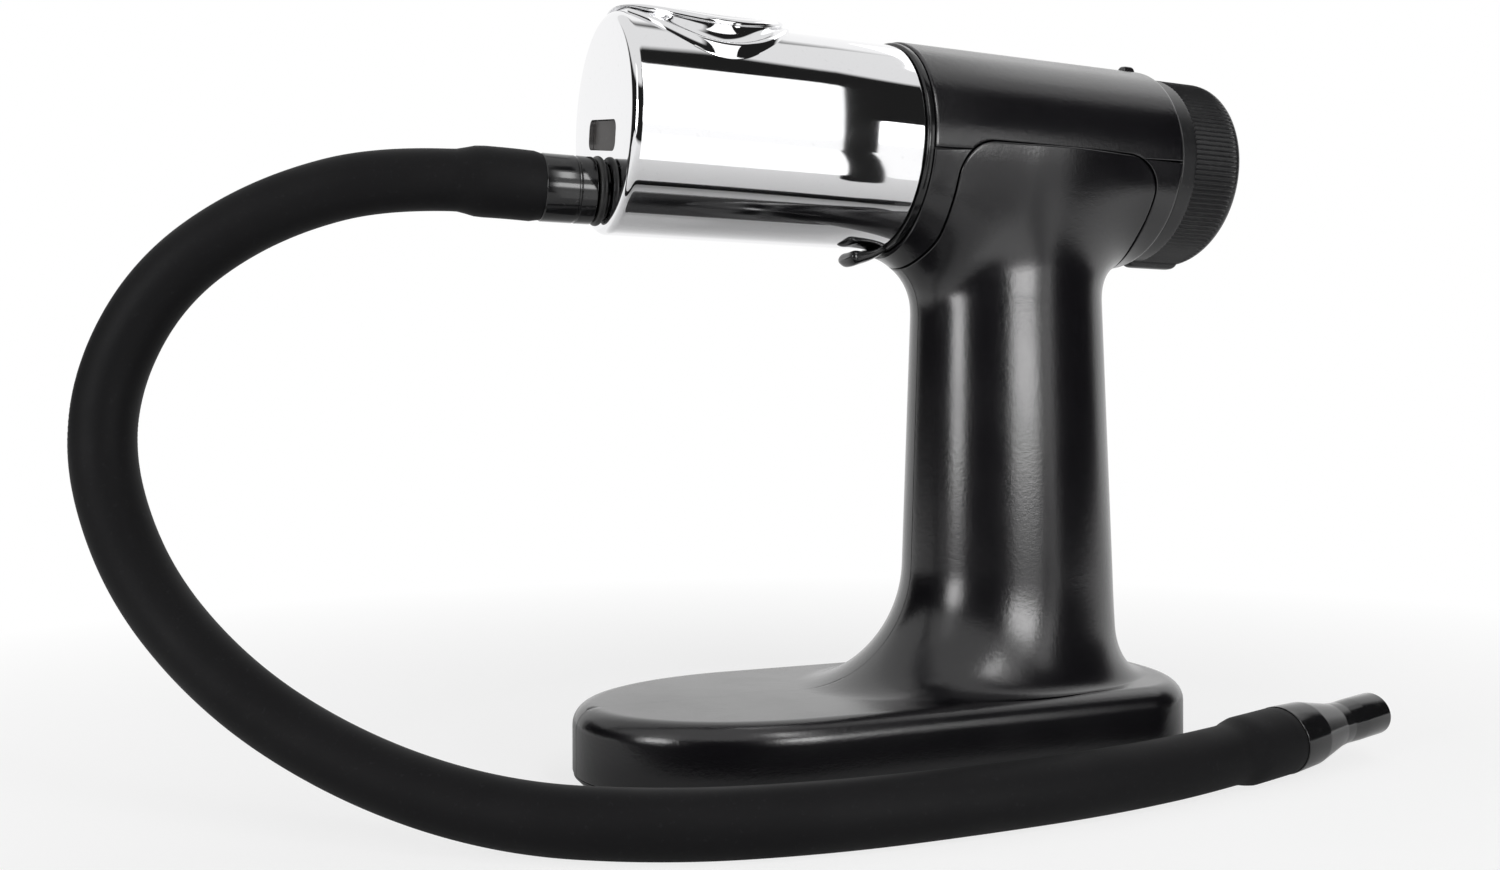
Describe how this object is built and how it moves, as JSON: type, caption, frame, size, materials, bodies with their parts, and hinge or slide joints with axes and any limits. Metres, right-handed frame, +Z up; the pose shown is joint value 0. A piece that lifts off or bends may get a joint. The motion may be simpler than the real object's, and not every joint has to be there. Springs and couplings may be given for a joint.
{
  "type": "handheld smoke infuser",
  "caption": "Handheld smoke infuser on its foot: chrome barrel with a burn bowl on top, black housing with a fluted speed dial, and a curved hose that ends in a nozzle.",
  "frame": {"origin": "on the table under the middle of the stand, barrel and dial, hose left out", "axes": "+Z up, +X from the barrel's face towards the speed dial, -Y towards the hose's lying run"},
  "size_m": [0.3082, 0.1089, 0.1848],
  "materials": {
    "satin_black": "fine-grained satin moulding",
    "gloss_black": "gloss moulding",
    "dial_black": "satin moulding with fine flutes",
    "barrel_chrome": "mirror polish",
    "slot_dark": "matt",
    "screen_steel": "perforated sheet",
    "silicone": "matt silicone",
    "seal_rubber": "moulded rubber",
    "inner_plastic": "plain moulding",
    "bright_steel": "turned or stamped",
    "cell_jacket": "printed jacket left plain",
    "contact_metal": "plated strip",
    "board_green": "lacquered board",
    "wire_sleeve": "sleeved leads",
    "lens_dark": "clear moulding, unlit"
  },
  "bodies": {
    "stand": {"left_handle_shell": "satin_black", "right_handle_shell": "satin_black", "handle_screws": "bright_steel", "upper_housing": "satin_black", "lower_front_housing": "satin_black", "lower_rear_housing": "satin_black", "front_ring": "gloss_black", "indicator_lens": "lens_dark", "base_plate": "satin_black", "base_plate_screws": "bright_steel", "non_slip_ring": "seal_rubber", "battery_cradle": "inner_plastic", "battery_cell_1": "cell_jacket", "battery_cell_2": "cell_jacket", "battery_cell_3": "cell_jacket", "battery_cell_4": "cell_jacket", "battery_contacts": "contact_metal", "motor_mount": "inner_plastic", "motor_screws": "bright_steel", "fan_motor": "bright_steel", "latch_bracket": "inner_plastic", "lever_pin": "bright_steel", "lever_spring": "bright_steel", "rear_bulkhead": "inner_plastic", "speed_potentiometer": "bright_steel", "potentiometer_nut": "bright_steel", "circuit_board": "board_green", "board_posts": "inner_plastic", "wire_loom": "wire_sleeve"},
    "barrel": {"smoke_barrel": "barrel_chrome", "slot_insert": "slot_dark", "barrel_seal": "seal_rubber", "fan_shroud": "inner_plastic", "hose_adapter": "gloss_black", "adapter_o_ring": "seal_rubber", "smoke_hose": "silicone", "hose_nozzle": "gloss_black"},
    "bowl": {"burn_bowl": "barrel_chrome"},
    "screen": {"bowl_screen": "screen_steel"},
    "fan": {"impeller": "inner_plastic", "motor_shaft": "bright_steel"},
    "dial": {"speed_dial": "dial_black", "dial_shaft": "bright_steel"},
    "lever": {"release_lever": "gloss_black"},
    "cover": {"battery_cover": "satin_black"}
  },
  "joints": [
    {"name": "barrel_pull", "type": "slide", "parent": "stand", "child": "barrel", "axis": [-1, 0, 0], "range_m": [0, 0.03]},
    {"name": "bowl_lift", "type": "slide", "parent": "barrel", "child": "bowl", "axis": [0, 0, 1], "range_m": [0, 0.025]},
    {"name": "screen_lift", "type": "slide", "parent": "bowl", "child": "screen", "axis": [0, 0, 1], "range_m": [0, 0.024]},
    {"name": "fan_spin", "type": "hinge", "parent": "stand", "child": "fan", "pos_m": [0, 0, 0.157], "axis": [1, 0, 0], "continuous": true},
    {"name": "dial_turn", "type": "hinge", "parent": "stand", "child": "dial", "pos_m": [0.08, 0, 0.157], "axis": [-1, 0, 0], "range_deg": [0, 270]},
    {"name": "lever_press", "type": "hinge", "parent": "stand", "child": "lever", "pos_m": [0.0009, 0, 0.128], "axis": [0, -1, 0], "range_deg": [0, 8], "stiffness_Nm_per_rad": 0.3, "springref_deg": -11.46},
    {"name": "cover_slide", "type": "slide", "parent": "stand", "child": "cover", "axis": [1, 0, 0], "range_m": [0, 0.008]}
  ]
}
